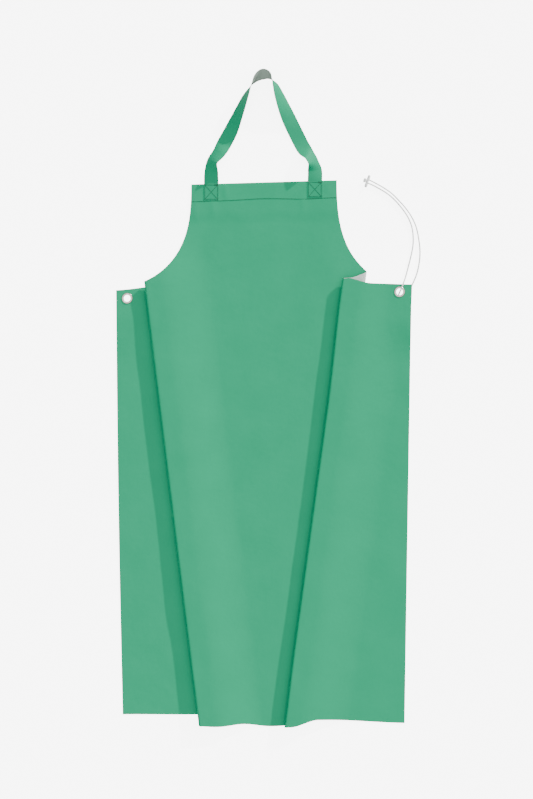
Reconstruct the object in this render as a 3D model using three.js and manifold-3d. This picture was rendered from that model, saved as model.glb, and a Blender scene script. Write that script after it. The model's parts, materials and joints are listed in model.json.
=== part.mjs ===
// A butcher's apron laid flat, front face up, with its neck strap pointing along +Y.
// One sheet of coated cloth is cut to a bib and skirt, and folded into a pleat down each side.
// Its top hem is turned under and sewn, the neck strap is sewn on with two boxed crosses, and an
// eyelet is set in each side corner. A looped cord with a bar toggle runs through the right one.
// Millimetres, +Z up. While it is built, x is measured from the centre line and y from the hem.
import * as THREE from 'three';
import { mergeVertices } from 'three/addons/utils/BufferGeometryUtils.js';
import Module from 'manifold-3d';

const wasm = await Module();
wasm.setup();

const { clamp, lerp, smoothstep, degToRad } = THREE.MathUtils;

// Cloth and its flat pattern
const CLOTH = 0.8;
const LYING = CLOTH / 2;
const CLEARANCE = 0.3;
const HALF_WIDTH = 415;
const LEFT_HEM_RISE = 18;
const RIGHT_HEM_TUCK = 14;
const BIB_TOP = 1196;
const BIB_SLOPE = 0.029;
const BIB_FROM = 1000;
const ARMHOLE = { side: 958, top: 1205, depth: 255, sidePower: 3, topPower: 2.75 };

// Pleats: each crease is a straight line x = at + lean * y, with x outward from the centre line,
// drawn where it lies once the cloth is folded. The near one is met first from the centre.
const FOLD_RADIUS = 4;
const FOLD_ARC = Math.PI * FOLD_RADIUS;
const STACK = 4 * FOLD_RADIUS;
const LEFT_NEAR = { at: 138.7, lean: 0.1227 };
const LEFT_FAR = { at: 97.4, lean: 0.1307 };
const RIGHT_NEAR = { at: 89.4, lean: 0.128 };
const RIGHT_FAR = { at: 47.5, lean: 0.136 };
const SAG_START = 30;
const SAG_LENGTH = 110;
const CORNER_SAG_LENGTH = 70;
const BIB_DROP = { from: ARMHOLE.side + 20, to: BIB_TOP - 60 };
const HEM_RAMP = { from: BIB_TOP - 90, to: BIB_TOP - 60 };
const LEFT_HEM_RAMP = 60;
const RIGHT_HEM_RAMP = 36;
const HEM_REACH = 150;

// Top hem, strap and sewing
const HEM_DEPTH = 38;
const HEM_RADIUS = 0.7;
const STRAP_WIDTH = 32;
const STRAP_LAP = 35;
const LEFT_FOOT = new THREE.Vector2(-116, 1193);
const RIGHT_FOOT = new THREE.Vector2(112, 1199);
const THREAD = 1;
const THREAD_HEIGHT = 0.4;
const THREAD_INSET = 2;
const THREAD_GAP = 0.1;

// Eyelets and the side corners that hold them
const EYELET_BORE = 7.5;
const EYELET_RADIUS = 12;
const CLOTH_HOLE = 8.6;
const LEFT_EYELET = new THREE.Vector2(-301, 942);
const RIGHT_EYELET = new THREE.Vector2(298, 956);
const EYELET_DEPTH = 1.8;
const BARREL_RADIUS = 8;
const ROLL_RADIUS = 9.6;
const WASHER_THICKNESS = 0.5;
const DRILL_LENGTH = 40;
const CORNER = { from: 800, full: 900 };
const CORNER_RAMP = { from: 20, to: 60 };

// Cord and toggle
const CORD = 3;
const CORD_STEPS = 80;
const CORD_SIDES = 8;
const TOGGLE = { x: 227.5, y: 1199.4, length: 28.5, radius: 2.75, turn: -19.5 };
const KNOT = { across: 6, along: 9.5, height: 5 };
const CORD_ROOM = 1;
const RIGHT_CORNER_HEIGHT = EYELET_DEPTH + CORD + CORD_ROOM;

// How finely each cloth piece is divided: columns across it and rows along it.
const GRID = {
  fold: [6, 10],
  gusset: [2, 10],
  side: [14, 16],
  front: [20, 40],
  hem: [8, 14],
  stitching: [16, 1],
  strap: [4, 96],
};
const SKIRT_ROWS_SHARE = 0.4;
const ROUND_SIDES = 24;

// Finishes
const COATED_CLOTH = finish('#57b189', 0.5, 0);
const STRAP_CLOTH = finish('#52a580', 0.5, 0);
const GREEN_THREAD = finish('#3f8a66', 0.8, 0);
const NICKEL = finish('#d8d2cc', 0.25, 1);
const WHITE_CORD = finish('#f2f3f1', 0.8, 0);
const WHITE_PLASTIC = finish('#f4f5f4', 0.4, 0);

function finish(color, roughness, metalness) {
  return new THREE.MeshStandardMaterial({ color, roughness, metalness });
}

function named(name, geometry, material) {
  const mesh = new THREE.Mesh(geometry, material);
  mesh.name = name;
  return mesh;
}

// A thin slab whose middle surface is place(across, along), both running from 0 to 1.
function slab([columns, rows], thickness, place) {
  const box = new THREE.BoxGeometry(1, 1, 1, columns, rows, 1);
  const position = box.attributes.position;
  const step = 0.001;
  for (let i = 0; i < position.count; i += 1) {
    const across = position.getX(i) + 0.5;
    const along = position.getY(i) + 0.5;
    const a = clamp(across, step, 1 - step);
    const b = clamp(along, step, 1 - step);
    const widthWay = place(a + step, b).sub(place(a - step, b));
    const lengthWay = place(a, b + step).sub(place(a, b - step));
    const normal = widthWay.cross(lengthWay).normalize();
    const point = place(across, along).addScaledVector(normal, position.getZ(i) * thickness);
    position.setXYZ(i, point.x, point.y, point.z);
  }
  return box;
}

function toManifold(geometry) {
  const bare = geometry.clone();
  bare.deleteAttribute('normal');
  bare.deleteAttribute('uv');
  const merged = mergeVertices(bare, 1e-4);
  const vertProperties = new Float32Array(merged.attributes.position.array);
  const triVerts = new Uint32Array(merged.index.array);
  return new wasm.Manifold(new wasm.Mesh({ numProp: 3, vertProperties, triVerts }));
}

function fromManifold(solid) {
  const mesh = solid.getMesh();
  const geometry = new THREE.BufferGeometry();
  geometry.setAttribute('position', new THREE.BufferAttribute(mesh.vertProperties, 3));
  geometry.setIndex(new THREE.BufferAttribute(mesh.triVerts, 1));
  geometry.computeVertexNormals();
  return geometry;
}

// The armhole is a quarter of a rounded curve, from the bib's side down to the skirt's corner.
function halfWidthAt(y) {
  const down = clamp((ARMHOLE.top - y) / (ARMHOLE.top - ARMHOLE.side), 0, 1);
  return HALF_WIDTH - ARMHOLE.depth * (1 - down ** ARMHOLE.topPower) ** (1 / ARMHOLE.sidePower);
}

function armholeHeightAt(x) {
  const inward = clamp((HALF_WIDTH - x) / ARMHOLE.depth, 0, 1);
  const reach = (1 - inward ** ARMHOLE.sidePower) ** (1 / ARMHOLE.topPower);
  return ARMHOLE.top - (ARMHOLE.top - ARMHOLE.side) * reach;
}

// A crease as a point on it and the unit vector that leads outward across it.
function creaseLine({ at, lean }) {
  return { point: new THREE.Vector2(at, 0), outward: new THREE.Vector2(1, -lean).normalize() };
}

function beyond(point, line) {
  return point.clone().sub(line.point).dot(line.outward);
}

// Turns cloth that lies wholly past a crease over to its other side: from the pattern to where it
// is laid, or back again.
function turnOver(point, line) {
  return point.clone().addScaledVector(line.outward, FOLD_ARC - 2 * beyond(point, line));
}

function pleat(sign, near, far) {
  const first = creaseLine(near);
  const low = turnOver(new THREE.Vector2(far.at, 0), first);
  const high = turnOver(new THREE.Vector2(far.at + far.lean * BIB_TOP, BIB_TOP), first);
  const lean = (high.x - low.x) / (high.y - low.y);
  const second = creaseLine({ at: low.x - lean * low.y, lean });
  return { sign, first, second, laidFar: creaseLine(far) };
}

const LEFT = pleat(-1, LEFT_NEAR, LEFT_FAR);
const RIGHT = pleat(1, RIGHT_NEAR, RIGHT_FAR);

// Bends the cloth beyond a crease through half a turn and lays it back over what it left.
function foldAt(point, line) {
  const past = beyond(point, line);
  const turn = clamp(past / FOLD_RADIUS, 0, Math.PI);
  const laidBack = Math.max(past - FOLD_ARC, 0);
  const across = past <= 0 ? past : FOLD_RADIUS * Math.sin(turn) - laidBack;
  const moved = point.clone().addScaledVector(line.outward, across - past);
  return { point: moved, lift: FOLD_RADIUS * (1 - Math.cos(turn)) };
}

function cornerShare(y) {
  return smoothstep(y, CORNER.from, CORNER.full);
}

// The front panel is high over the left pleat and comes down to the table beside it.
function frontHeight(x, y) {
  const fromCrease = LEFT_NEAR.at + LEFT_NEAR.lean * y + x;
  const overPleat = 1 - smoothstep(fromCrease, SAG_START, SAG_START + SAG_LENGTH);
  const belowBib = 1 - smoothstep(y, BIB_DROP.from, BIB_DROP.to);
  const overHem = 2 * HEM_RADIUS * smoothstep(y, HEM_RAMP.from, HEM_RAMP.to);
  return LYING + STACK * overPleat * belowBib + overHem;
}

// The left pleat goes down under the front panel, so its side panel lies on the table,
// raised a little at the corner by the eyelet under it.
function leftHeight(point, lift) {
  const past = beyond(point, LEFT.laidFar);
  const onPanel = lift === STACK ? smoothstep(past, CORNER_RAMP.from, CORNER_RAMP.to) : 0;
  return LYING + STACK - lift + (EYELET_DEPTH - LYING) * cornerShare(point.y) * onPanel;
}

// The right pleat comes up over the front panel, and its side panel hangs down to the table,
// held up at the corner by the cord under its eyelet.
function rightHeight(point, lift) {
  if (lift !== STACK) return LYING + lift;
  const corner = cornerShare(point.y);
  const low = lerp(LYING, RIGHT_CORNER_HEIGHT, corner);
  const length = lerp(SAG_LENGTH, CORNER_SAG_LENGTH, corner);
  const fallen = smoothstep(beyond(point, RIGHT.laidFar), SAG_START, SAG_START + length);
  return lerp(LYING + STACK, low, fallen);
}

// A point of the flat pattern, u outward from the centre line and v up from the hem, as laid.
function lay(side, u, v) {
  const outer = foldAt(new THREE.Vector2(u, v), side.second);
  const inner = outer.lift > 0
    ? { point: turnOver(outer.point, side.first), lift: 2 * FOLD_RADIUS }
    : foldAt(outer.point, side.first);
  const height = side === LEFT ? leftHeight : rightHeight;
  const z = height(inner.point, outer.lift + inner.lift);
  return new THREE.Vector3(side.sign * inner.point.x, inner.point.y, z);
}

function alongLine(line, offset) {
  return (v) => line.point.x + (offset - v * line.outward.y) / line.outward.x;
}

// The height at which a leaning line of the pattern, u = line(v), meets the armhole.
function armholeAlong(line) {
  const settlingSteps = 12;
  let top = ARMHOLE.side;
  for (let i = 0; i < settlingSteps; i += 1) {
    top = armholeHeightAt(line(top));
  }
  return top;
}

// How far up the hem is cut. The left side is a little shorter than the front, and the right gusset
// is shorter about its near crease, so that it stays hidden under the side panel.
function hemAt(side, u) {
  const point = new THREE.Vector2(u, 0);
  if (side === LEFT) return LEFT_HEM_RISE * smoothstep(beyond(point, LEFT.first), 0, LEFT_HEM_RAMP);
  const fromFold = -beyond(point, RIGHT.second);
  return RIGHT_HEM_TUCK * smoothstep(fromFold, 0, RIGHT_HEM_RAMP);
}

// The cloth between two lines of the pattern, from the hem up to the armhole.
function strip(side, { size, inner, outer }) {
  return slab(size, CLOTH, (across, along) => {
    const u = (v) => lerp(inner(v), outer(v), across);
    const top = armholeAlong(u);
    const v = lerp(hemAt(side, u(0)), top, along);
    return lay(side, u(v), v);
  });
}

// The four strips of a pleat, from the centre outward: a fold, the gusset, a fold, the side panel.
function sidePleat(side, names) {
  const { first, second } = side;
  const gap = CLEARANCE / 2;
  const bands = [
    { size: GRID.fold, inner: alongLine(first, gap), outer: alongLine(first, FOLD_ARC - gap) },
    { size: GRID.gusset, inner: alongLine(first, FOLD_ARC + gap), outer: alongLine(second, -gap) },
    { size: GRID.fold, inner: alongLine(second, gap), outer: alongLine(second, FOLD_ARC - gap) },
    { size: GRID.side, inner: alongLine(second, FOLD_ARC + gap), outer: () => HALF_WIDTH },
  ];
  return bands.map((band, i) => named(names[i], strip(side, band), COATED_CLOTH));
}

// Rows are wide apart down the straight skirt and close together along the armholes.
function frontRow(along, top) {
  if (along < SKIRT_ROWS_SHARE) return ARMHOLE.side * along / SKIRT_ROWS_SHARE;
  return lerp(ARMHOLE.side, top, (along - SKIRT_ROWS_SHARE) / (1 - SKIRT_ROWS_SHARE));
}

// Bib and skirt between the two pleats, row by row from the hem to the bib's top edge. Its hem
// rises with the right gusset's where it runs on under the side panel.
function frontPanel() {
  const left = alongLine(LEFT.first, -CLEARANCE / 2);
  const right = alongLine(RIGHT.first, -CLEARANCE / 2);
  const top = BIB_TOP - HEM_RADIUS - 2 * CLEARANCE;
  return slab(GRID.front, CLOTH, (across, along) => {
    const row = frontRow(along, top);
    const half = halfWidthAt(row);
    const x = lerp(-Math.min(left(row), half), Math.min(right(row), half), across);
    const hem = RIGHT_HEM_TUCK * smoothstep(x, right(0) - RIGHT_HEM_RAMP, right(0));
    const v = row + hem * Math.max(1 - row / HEM_REACH, 0);
    const y = v + BIB_SLOPE * x * smoothstep(v, BIB_FROM, BIB_TOP);
    return new THREE.Vector3(x, y, frontHeight(x, v));
  });
}

// The top edge turned under: half a turn of cloth, then a flat flange against the table.
function topHem() {
  const arc = Math.PI * HEM_RADIUS;
  const arcShare = 0.5;
  const centre = BIB_TOP - HEM_RADIUS - CLEARANCE;
  return slab(GRID.hem, CLOTH, (across, along) => {
    const turn = Math.min(along / arcShare, 1) * Math.PI;
    const flat = Math.max(along - arcShare, 0) / (1 - arcShare) * (HEM_DEPTH - arc);
    const v = centre + HEM_RADIUS * Math.sin(turn) - flat;
    const x = lerp(-1, 1, across) * (halfWidthAt(v) - CLOTH);
    const z = LYING + HEM_RADIUS * (1 + Math.cos(turn));
    return new THREE.Vector3(x, v + BIB_SLOPE * x, z);
  });
}

const ON_BIB = 2 * HEM_RADIUS + CLOTH;

function hemStitching() {
  const half = halfWidthAt(BIB_TOP - HEM_DEPTH) - THREAD_INSET;
  return slab(GRID.stitching, THREAD_HEIGHT, (across, along) => {
    const x = lerp(-half, half, across);
    const y = BIB_TOP - HEM_DEPTH + BIB_SLOPE * x + (along - 0.5) * THREAD;
    return new THREE.Vector3(x, y, ON_BIB + THREAD_GAP + THREAD_HEIGHT / 2);
  });
}

function strapEnd(foot) {
  const end = new THREE.BoxGeometry(STRAP_WIDTH, STRAP_LAP, CLOTH);
  end.translate(foot.x, foot.y - STRAP_LAP / 2 - CLEARANCE / 2, ON_BIB + CLEARANCE + CLOTH / 2);
  return end;
}

// Two opposite triangles of the boxed cross, each from a side of the box nearly to its middle.
function crossHoles(reach, spread, place) {
  const slack = THREAD * 1.1;
  const half = spread - slack - THREAD / 2;
  return [-1, 1].map((sign) => {
    const base = sign * (reach - THREAD / 2);
    return new THREE.Path([place(-half, base), place(half, base), place(0, sign * slack)]);
  });
}

function strapStitching(foot) {
  const halfWidth = STRAP_WIDTH / 2 - THREAD_INSET;
  const halfHeight = STRAP_LAP / 2 - THREAD_INSET;
  const outline = new THREE.Shape([
    new THREE.Vector2(-halfWidth, -halfHeight),
    new THREE.Vector2(halfWidth, -halfHeight),
    new THREE.Vector2(halfWidth, halfHeight),
    new THREE.Vector2(-halfWidth, halfHeight),
  ]);
  outline.holes = [
    ...crossHoles(halfHeight, halfWidth, (a, b) => new THREE.Vector2(a, b)),
    ...crossHoles(halfWidth, halfHeight, (a, b) => new THREE.Vector2(b, a)),
  ];
  const cross = new THREE.ExtrudeGeometry(outline, { depth: THREAD_HEIGHT, bevelEnabled: false });
  const z = ON_BIB + CLEARANCE + CLOTH + THREAD_GAP;
  cross.translate(foot.x, foot.y - STRAP_LAP / 2 - CLEARANCE / 2, z);
  return cross;
}

// The strap's middle line: x, y and how far it is turned up from flat, in degrees. Its inner
// edge lifts off the table on both runs, passes upright and leans outward over the top.
const STRAP_STATIONS = [
  [-116, 1193, 0],
  [-116, 1216, 16],
  [-114, 1241, 42],
  [-98, 1263, 26],
  [-86.5, 1284, 5],
  [-73, 1309, 16],
  [-61.6, 1335, 37],
  [-50.6, 1361, 52],
  [-39.2, 1388, 67],
  [-26, 1412.5, 92],
  [-14, 1427, 118],
  [-2, 1433.5, 132],
  [8.5, 1431, 118],
  [16.5, 1423.5, 92],
  [24.5, 1411, 68],
  [33.3, 1388, 49],
  [44, 1361, 31],
  [56.3, 1333, 10],
  [73.4, 1298, 0],
  [87, 1272, 8],
  [100.3, 1255, 40],
  [108, 1241, 42],
  [112, 1222, 12],
  [112, 1199, 0],
];

// How many stations it takes the strap's outer edge to come down from the bib to the table.
const FOOT_STATIONS = 1.6;

function neckStrap() {
  const plan = new THREE.CatmullRomCurve3(
    STRAP_STATIONS.map(([x, y]) => new THREE.Vector3(x, y, 0)),
  );
  const tilts = new THREE.CatmullRomCurve3(
    STRAP_STATIONS.map(([, , tilt], i) => new THREE.Vector3(i, tilt, 0)),
  );
  const last = STRAP_STATIONS.length - 1;
  const start = CLEARANCE / plan.getLength();
  const half = STRAP_WIDTH / 2;
  const onFoot = ON_BIB + CLEARANCE + CLOTH / 2;
  return slab(GRID.strap, CLOTH, (across, along) => {
    const t = lerp(start, 1 - start, along);
    const middle = plan.getPoint(t);
    const heading = plan.getTangent(t);
    const tilt = degToRad(tilts.getPoint(t).y);
    const inward = new THREE.Vector3(heading.y, -heading.x, 0);
    const fromFoot = Math.min(t, 1 - t) * last;
    const outerEdge = lerp(onFoot, CLOTH, smoothstep(fromFoot, 0, FOOT_STATIONS));
    const reach = lerp(-half, half, across);
    middle.addScaledVector(inward, reach * Math.cos(tilt));
    middle.z = outerEdge + (reach + half) * Math.sin(tilt);
    return middle;
  });
}

// A ring turned about +Z from a closed outline of radii and heights.
function ring(outline) {
  const lathe = new THREE.LatheGeometry(outline.map(([r, z]) => new THREE.Vector2(r, z)), ROUND_SIDES);
  lathe.rotateX(Math.PI / 2);
  return lathe;
}

// The front half of an eyelet: a domed flange and a barrel whose end is rolled out at the back.
function eyeletFront() {
  const rollTop = -EYELET_DEPTH + WASHER_THICKNESS;
  const flange = 0.5;
  return ring([
    [EYELET_BORE, -EYELET_DEPTH],
    [ROLL_RADIUS, -EYELET_DEPTH],
    [ROLL_RADIUS, rollTop],
    [BARREL_RADIUS, rollTop],
    [BARREL_RADIUS, flange],
    [EYELET_RADIUS, flange],
    [EYELET_RADIUS, 0.8],
    [11.2, 1.2],
    [9.6, 1.5],
    [8.2, 1.2],
    [EYELET_BORE, 0.6],
    [EYELET_BORE, -EYELET_DEPTH],
  ]);
}

// The washer lies against the back of the cloth, under the barrel's rolled end.
function eyeletWasher() {
  const top = -WASHER_THICKNESS;
  const bottom = top - WASHER_THICKNESS;
  return ring([
    [CLOTH_HOLE, bottom],
    [EYELET_RADIUS, bottom],
    [EYELET_RADIUS, top],
    [CLOTH_HOLE, top],
    [CLOTH_HOLE, bottom],
  ]);
}

function eyelet(side, at, z) {
  const parts = [
    named(`eyelet_${side}`, eyeletFront(), NICKEL),
    named(`eyelet_washer_${side}`, eyeletWasher(), NICKEL),
  ];
  const set = new THREE.Group().add(...parts);
  set.position.set(at.x, at.y, z);
  return set;
}

function punchEyeletHole(panel, at) {
  const drill = new THREE.CylinderGeometry(CLOTH_HOLE, CLOTH_HOLE, DRILL_LENGTH, ROUND_SIDES);
  drill.rotateX(Math.PI / 2);
  drill.translate(at.x, at.y, 0);
  panel.geometry = fromManifold(toManifold(panel.geometry).subtract(toManifold(drill)));
}

// The cord's middle line, from the toggle down the inner strand, through the eyelet, round in a
// small bight under the corner, and back up the outer strand to the toggle.
const CORD_ROUTE = [
  [229.1, 1194.8, 2.75],
  [236, 1192.2, 2.3],
  [249.7, 1185.1, 1.75],
  [266.2, 1175.5, 1.75],
  [283, 1162.5, 1.75],
  [302, 1141.5, 1.75],
  [317, 1119.5, 1.75],
  [325, 1099, 1.75],
  [328, 1078, 1.75],
  [327.5, 1057, 1.75],
  [322.5, 1031.8, 1.75],
  [316.5, 1008, 2],
  [311.5, 990, 5.6],
  [307.5, 978.5, 9.2],
  [304.2, 969.5, 10.3],
  [301, 961.5, 9],
  [298.7, 956.2, 5.2],
  [296.3, 950.3, 1.8],
  [291.8, 939.4, 1.75],
  [291.4, 933.7, 1.75],
  [295.5, 929.2, 1.75],
  [301.6, 928.9, 1.75],
  [306.1, 933, 1.75],
  [311, 945, 1.75],
  [317.5, 957.5, 1.75],
  [326.5, 973, 1.75],
  [336.4, 997, 1.75],
  [342, 1025, 1.75],
  [343, 1048, 1.75],
  [340, 1074, 1.75],
  [334.2, 1100, 1.75],
  [324, 1122, 1.75],
  [310, 1142, 1.75],
  [297.5, 1156, 1.75],
  [281, 1172.5, 1.75],
  [263, 1185.1, 1.75],
  [243, 1196.3, 1.8],
  [231.6, 1202, 2.75],
];

function tieCord() {
  const extrudePath = new THREE.CatmullRomCurve3(CORD_ROUTE.map((p) => new THREE.Vector3(...p)));
  const section = new THREE.Shape();
  section.absarc(0, 0, CORD / 2, 0, 2 * Math.PI);
  const options = { steps: CORD_STEPS, curveSegments: CORD_SIDES / 2, extrudePath };
  return new THREE.ExtrudeGeometry(section, options);
}

function toggleBar() {
  const bar = new THREE.CapsuleGeometry(TOGGLE.radius, TOGGLE.length - 2 * TOGGLE.radius, 5, 16);
  bar.rotateZ(degToRad(TOGGLE.turn));
  bar.translate(TOGGLE.x, TOGGLE.y, TOGGLE.radius);
  return bar;
}

// The cord's two ends are knotted together on the far side of the bar.
function cordKnot() {
  const knot = new THREE.SphereGeometry(0.5, 14, 10);
  knot.scale(KNOT.across, KNOT.along, KNOT.height);
  knot.translate(-(TOGGLE.radius + CLEARANCE + KNOT.across / 2), 0, 0);
  knot.rotateZ(degToRad(TOGGLE.turn));
  knot.translate(TOGGLE.x, TOGGLE.y, TOGGLE.radius);
  return knot;
}

const leftNames = ['left_front_fold', 'left_gusset', 'left_rear_fold', 'left_side_panel'];
const rightNames = ['right_rear_fold', 'right_gusset', 'right_front_fold', 'right_side_panel'];
const leftPleat = sidePleat(LEFT, leftNames);
const rightPleat = sidePleat(RIGHT, rightNames);
punchEyeletHole(leftPleat.at(-1), LEFT_EYELET);
punchEyeletHole(rightPleat.at(-1), RIGHT_EYELET);

const apron = new THREE.Group();
apron.add(named('front_panel', frontPanel(), COATED_CLOTH), ...leftPleat, ...rightPleat);
apron.add(named('top_hem', topHem(), COATED_CLOTH));
apron.add(named('hem_stitching', hemStitching(), GREEN_THREAD));
for (const [side, foot] of [['left', LEFT_FOOT], ['right', RIGHT_FOOT]]) {
  apron.add(named(`strap_end_${side}`, strapEnd(foot), STRAP_CLOTH));
  apron.add(named(`strap_stitching_${side}`, strapStitching(foot), GREEN_THREAD));
}
apron.add(named('neck_strap', neckStrap(), STRAP_CLOTH));
apron.add(eyelet('left', LEFT_EYELET, EYELET_DEPTH));
apron.add(eyelet('right', RIGHT_EYELET, RIGHT_CORNER_HEIGHT));

// The origin is under the middle of the apron itself, so the cord is added after it is found.
const extent = new THREE.Box3().setFromObject(apron, true);
const middle = extent.getCenter(new THREE.Vector3());
apron.add(named('tie_cord', tieCord(), WHITE_CORD));
apron.add(named('toggle', toggleBar(), WHITE_PLASTIC));
apron.add(named('cord_knot', cordKnot(), WHITE_CORD));
apron.position.set(-middle.x, -middle.y, -extent.min.z);

export default apron;
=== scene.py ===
import json
import math

import bpy
import numpy as np
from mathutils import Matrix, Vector, noise


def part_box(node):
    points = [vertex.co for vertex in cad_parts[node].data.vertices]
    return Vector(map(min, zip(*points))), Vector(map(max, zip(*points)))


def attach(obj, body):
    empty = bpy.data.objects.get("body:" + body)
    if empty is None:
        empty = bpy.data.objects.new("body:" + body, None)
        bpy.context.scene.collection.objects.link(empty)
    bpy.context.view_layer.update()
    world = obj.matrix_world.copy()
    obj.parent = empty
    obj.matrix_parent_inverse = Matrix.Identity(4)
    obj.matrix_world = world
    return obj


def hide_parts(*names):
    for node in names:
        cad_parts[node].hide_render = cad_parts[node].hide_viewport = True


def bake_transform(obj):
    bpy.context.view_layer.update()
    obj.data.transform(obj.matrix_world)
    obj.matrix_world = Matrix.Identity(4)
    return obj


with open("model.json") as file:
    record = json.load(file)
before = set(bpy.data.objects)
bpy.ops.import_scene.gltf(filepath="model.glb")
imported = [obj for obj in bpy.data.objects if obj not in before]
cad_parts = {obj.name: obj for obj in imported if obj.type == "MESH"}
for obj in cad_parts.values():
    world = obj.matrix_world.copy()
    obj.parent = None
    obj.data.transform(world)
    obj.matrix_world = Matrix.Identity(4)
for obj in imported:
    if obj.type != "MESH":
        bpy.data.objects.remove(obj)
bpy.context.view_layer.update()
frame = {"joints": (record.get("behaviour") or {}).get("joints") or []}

scene = bpy.context.scene

# The camera looks straight down on the apron, with the neck strap at the top. Its lens is long, so
# the apron is seen almost without perspective.
VIEW_HEIGHT = 1.7578
CAMERA_HEIGHT = 6.0
SENSOR = 36.0
camera_data = bpy.data.cameras.new("camera")
camera_data.sensor_width = SENSOR
camera_data.lens = SENSOR * CAMERA_HEIGHT / VIEW_HEIGHT
camera_data.clip_end = 40
camera = bpy.data.objects.new("camera", camera_data)
camera.location = (0.0060, -0.0029, CAMERA_HEIGHT)
scene.collection.objects.link(camera)
scene.camera = camera


# Shader nodes are written as sums. A Socket is one output of a node, and each operator on it adds
# a Math node. A Finish is a material, and its node() makes any other kind of node.
class Socket:
    def __init__(self, finish, output):
        self.finish = finish
        self.output = output

    def math(self, operation, *values):
        return self.finish.node("ShaderNodeMath", {"operation": operation}, dict(enumerate(values)))

    def __add__(self, other):
        return self.math("ADD", self, other)

    def __sub__(self, other):
        return self.math("SUBTRACT", self, other)

    def __rsub__(self, other):
        return self.math("SUBTRACT", other, self)

    def __mul__(self, other):
        return self.math("MULTIPLY", self, other)

    __radd__ = __add__
    __rmul__ = __mul__

    def sine(self):
        return self.math("SINE", self)


class Finish:
    def __init__(self, name):
        self.material = bpy.data.materials.new(name)
        self.material.use_nodes = True
        self.tree = self.material.node_tree
        self.shader = self.tree.nodes["Principled BSDF"]

    def put(self, socket, value):
        if isinstance(value, Socket):
            self.tree.links.new(value.output, socket)
        else:
            socket.default_value = value

    def node(self, kind, settings=None, values=None, output=0):
        made = self.tree.nodes.new(kind)
        for key, value in (settings or {}).items():
            setattr(made, key, value)
        for key, value in (values or {}).items():
            self.put(made.inputs[key], value)
        return Socket(self, made.outputs[output])

    def set(self, **values):
        for key, value in values.items():
            self.put(self.shader.inputs[key.replace("_", " ")], value)

    def mix(self, factor, first, second):
        values = {0: factor, 6: (*first, 1) if isinstance(first, tuple) else first}
        values[7] = (*second, 1) if isinstance(second, tuple) else second
        return self.node("ShaderNodeMix", {"data_type": "RGBA"}, values, output=2)

    def noise(self, vector, scale, detail=3.0):
        values = {"Vector": vector, "Scale": scale, "Detail": detail}
        return self.node("ShaderNodeTexNoise", {}, values)

    def across_and_along(self):
        pattern = self.node("ShaderNodeUVMap", {"uv_map": "Pattern"})
        axes = [self.node("ShaderNodeSeparateXYZ", {}, {0: pattern}, output=i) for i in (0, 1)]
        return pattern, *axes

    def bump(self, height, distance, strength=1.0):
        values = {"Height": height, "Distance": distance, "Strength": strength}
        self.set(Normal=self.node("ShaderNodeBump", {}, values))


# The cord is fine white braid, 3 mm thick, in one length that is doubled through the right eyelet.
# Both of its ends meet at the bar toggle, where they are knotted on the bar's far side.
MM = 0.001
LEFT_EYELET = (-301, 942)
eyelet_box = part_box("eyelet_left")
eyelet_middle = (eyelet_box[0] + eyelet_box[1]) / 2
origin = np.array([eyelet_middle.x - LEFT_EYELET[0] * MM, eyelet_middle.y - LEFT_EYELET[1] * MM, 0.0])

CORD = 3
CORD_ROUTE = [
    (229.1, 1194.8, 2.75), (236, 1192.2, 2.3), (249.7, 1185.1, 1.75), (266.2, 1175.5, 1.75),
    (283, 1162.5, 1.75), (302, 1141.5, 1.75), (317, 1119.5, 1.75), (325, 1099, 1.75),
    (328, 1078, 1.75), (327.5, 1057, 1.75), (322.5, 1031.8, 1.75), (316.5, 1008, 2),
    (311.5, 990, 5.6), (307.5, 978.5, 9.2), (304.2, 969.5, 10.3), (301, 961.5, 9),
    (298.7, 956.2, 5.2), (296.3, 950.3, 1.8), (291.8, 939.4, 1.75), (291.4, 933.7, 1.75),
    (295.5, 929.2, 1.75), (301.6, 928.9, 1.75), (306.1, 933, 1.75), (311, 945, 1.75),
    (317.5, 957.5, 1.75), (326.5, 973, 1.75), (336.4, 997, 1.75), (342, 1025, 1.75),
    (343, 1048, 1.75), (340, 1074, 1.75), (334.2, 1100, 1.75), (324, 1122, 1.75),
    (310, 1142, 1.75), (297.5, 1156, 1.75), (281, 1172.5, 1.75), (263, 1185.1, 1.75),
    (243, 1196.3, 1.8), (231.6, 1202, 2.75),
]


def to_row(points):
    return np.asarray(points, float) * MM + origin


def smooth_path(points, steps):
    """A centripetal Catmull-Rom curve through the points, with so many steps between each two."""
    p = np.asarray(points, float)
    p = np.vstack([2 * p[0] - p[1], p, 2 * p[-1] - p[-2]])
    gap = np.sqrt(np.linalg.norm(np.diff(p, axis=0), axis=1))
    found = []
    for i in range(1, len(p) - 2):
        a, b, c = gap[i - 1], gap[i], gap[i + 1]
        before, start, end, after = p[i - 1:i + 3]
        leave = b * ((start - before) / a - (end - before) / (a + b) + (end - start) / b)
        arrive = b * ((end - start) / b - (after - start) / (b + c) + (after - end) / c)
        for t in np.arange(steps) / steps:
            cubic = 2 * start - 2 * end + leave + arrive
            square = 3 * end - 3 * start - 2 * leave - arrive
            found.append(start + leave * t + square * t * t + cubic * t ** 3)
    return np.array([*found, p[-2]])


def new_piece(name, vertices, faces, uv, materials, slots=None, sharp_above=50):
    """A mesh object with a UV map named Pattern, smooth but for edges sharper than that angle."""
    mesh = bpy.data.meshes.new(name)
    mesh.from_pydata([tuple(v) for v in vertices], [], faces)
    corner = np.array([i for face in faces for i in face])
    layer = mesh.uv_layers.new(name="Pattern")
    layer.data.foreach_set("uv", np.asarray(uv, np.float32)[corner].ravel())
    for material in materials:
        mesh.materials.append(material)
    if slots is not None:
        mesh.polygons.foreach_set("material_index", slots)
    mesh.polygons.foreach_set("use_smooth", [True] * len(faces))
    mesh.set_sharp_from_angle(angle=math.radians(sharp_above))
    piece = bpy.data.objects.new(name, mesh)
    scene.collection.objects.link(piece)
    return piece


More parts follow.
